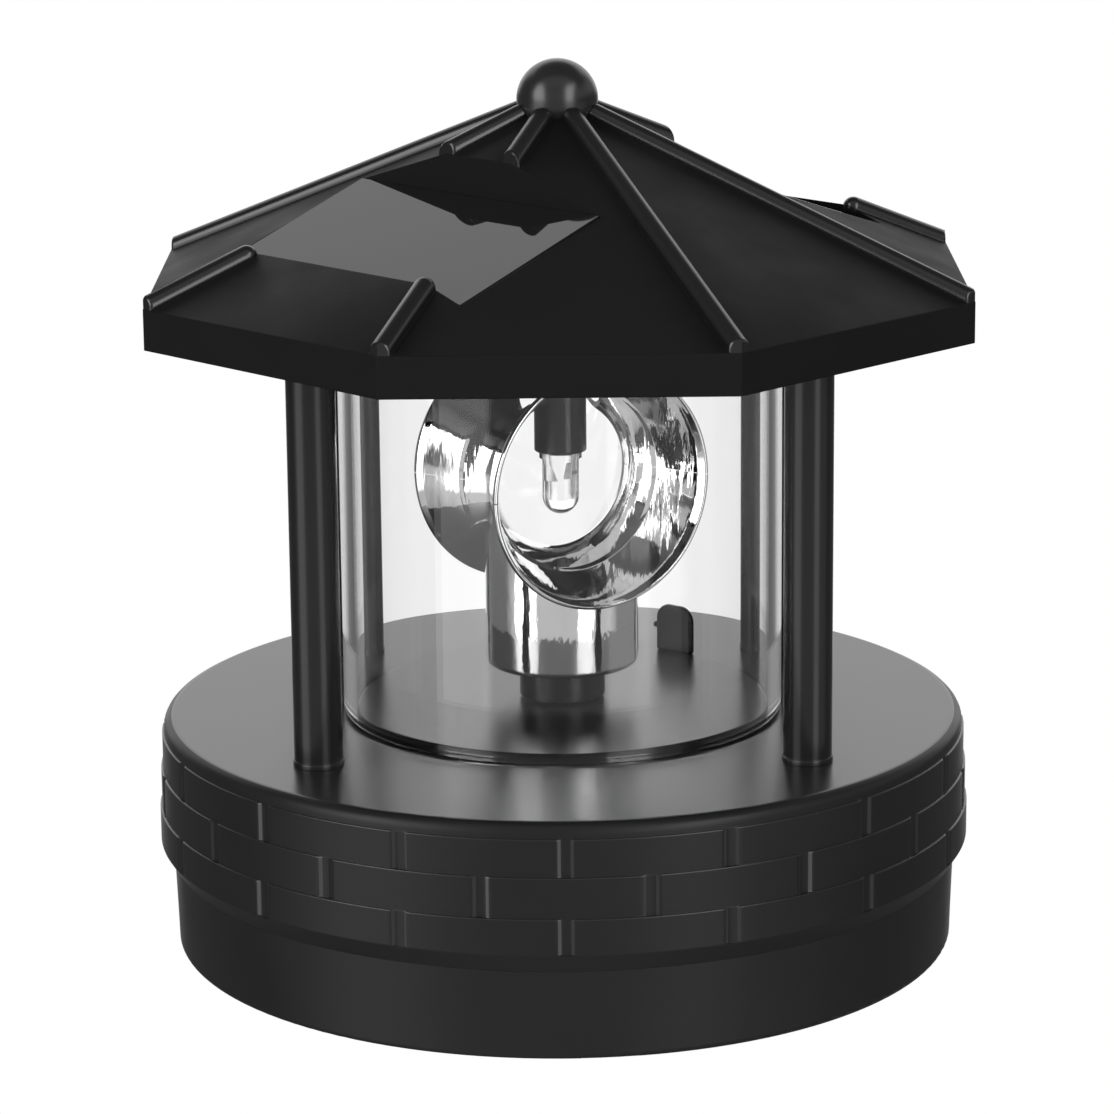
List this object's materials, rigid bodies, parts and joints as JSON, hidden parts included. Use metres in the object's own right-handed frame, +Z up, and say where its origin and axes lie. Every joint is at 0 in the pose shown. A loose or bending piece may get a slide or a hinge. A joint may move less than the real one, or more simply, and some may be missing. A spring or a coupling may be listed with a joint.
{
  "type": "solar lighthouse lamp head",
  "caption": "Free-standing solar lantern head: clear drum on a round brick-banded base, a turning double-horn mirror round a small lamp, and an octagonal roof.",
  "frame": {"origin": "centre of the flat underside of the base", "axes": "+Z up through the finial, -Y to the front, a flat side of the roof faces -Y, +X right as seen from the front"},
  "size_m": [0.111, 0.111, 0.1208],
  "materials": {
    "black_plastic": "satin moulded",
    "chromed_plastic": "bright metallised",
    "clear_plastic": "clear polished",
    "lamp_lens": "clear polished",
    "solar_cell": "glossy cover",
    "plated_steel": "plated",
    "brass": "turned",
    "white_plastic": "moulded",
    "grey_plastic": "moulded",
    "cell_sleeve": "shrink sleeve",
    "board": "lacquered",
    "wire_sleeve": "smooth"
  },
  "bodies": {
    "frame": {"base_housing": "black_plastic", "battery_cell": "cell_sleeve", "battery_contact_minus": "plated_steel", "battery_contact_plus": "plated_steel", "battery_spring": "plated_steel", "battery_wire_minus": "wire_sleeve", "battery_wire_plus": "wire_sleeve", "board_parts": "grey_plastic", "board_screws": "plated_steel", "case_screws": "plated_steel", "ceiling_plate": "black_plastic", "circuit_board": "board", "clear_drum": "clear_plastic", "finial_ball": "black_plastic", "gear_plate": "grey_plastic", "gear_plate_screws": "plated_steel", "idler_pin": "plated_steel", "lamp_holder": "black_plastic", "lamp_wire": "wire_sleeve", "led_leads": "plated_steel", "led_lens": "lamp_lens", "motor_can": "plated_steel", "motor_endcap": "white_plastic", "motor_screws": "plated_steel", "motor_wire_minus": "wire_sleeve", "motor_wire_plus": "wire_sleeve", "panel_wire_front": "wire_sleeve", "panel_wire_rear": "wire_sleeve", "plinth_cup": "black_plastic", "post_front_left": "black_plastic", "post_front_right": "black_plastic", "post_rear_left": "black_plastic", "post_rear_right": "black_plastic", "roof_screws": "plated_steel", "roof_shell": "black_plastic", "shaft_bush": "brass", "solar_panel_front": "solar_cell", "solar_panel_rear": "solar_cell", "switch_body": "plated_steel"},
    "mirror": {"mirror_lower": "chromed_plastic", "mirror_upper": "chromed_plastic", "drive_hub": "black_plastic", "drive_shaft": "plated_steel", "output_gear": "white_plastic"},
    "idler": {"idler_gear": "white_plastic"},
    "motor_rotor": {"motor_shaft": "plated_steel", "motor_pinion": "brass"},
    "door": {"battery_door": "black_plastic"},
    "switch": {"switch_slider": "black_plastic"}
  },
  "joints": [
    {"name": "mirror_spin", "type": "hinge", "parent": "frame", "child": "mirror", "pos_m": [0, 0, 0.05], "axis": [0, 0, 1], "continuous": true},
    {"name": "idler_spin", "type": "hinge", "parent": "frame", "child": "idler", "pos_m": [0, 0.018, 0.022], "axis": [0, 0, 1], "continuous": true},
    {"name": "motor_spin", "type": "hinge", "parent": "frame", "child": "motor_rotor", "pos_m": [0, 0.036, 0.02], "axis": [0, 0, 1], "continuous": true},
    {"name": "battery_door_hinge", "type": "hinge", "parent": "frame", "child": "door", "pos_m": [0, -0.0195, 0.0018], "axis": [1, 0, 0], "range_deg": [0, 100]},
    {"name": "switch_slide", "type": "slide", "parent": "frame", "child": "switch", "axis": [1, 0, 0], "range_m": [0, 0.0025]}
  ],
  "couplings": [
    {"joint": "idler_spin", "follows": "mirror_spin", "ratio": -4},
    {"joint": "motor_spin", "follows": "mirror_spin", "ratio": 16}
  ]
}
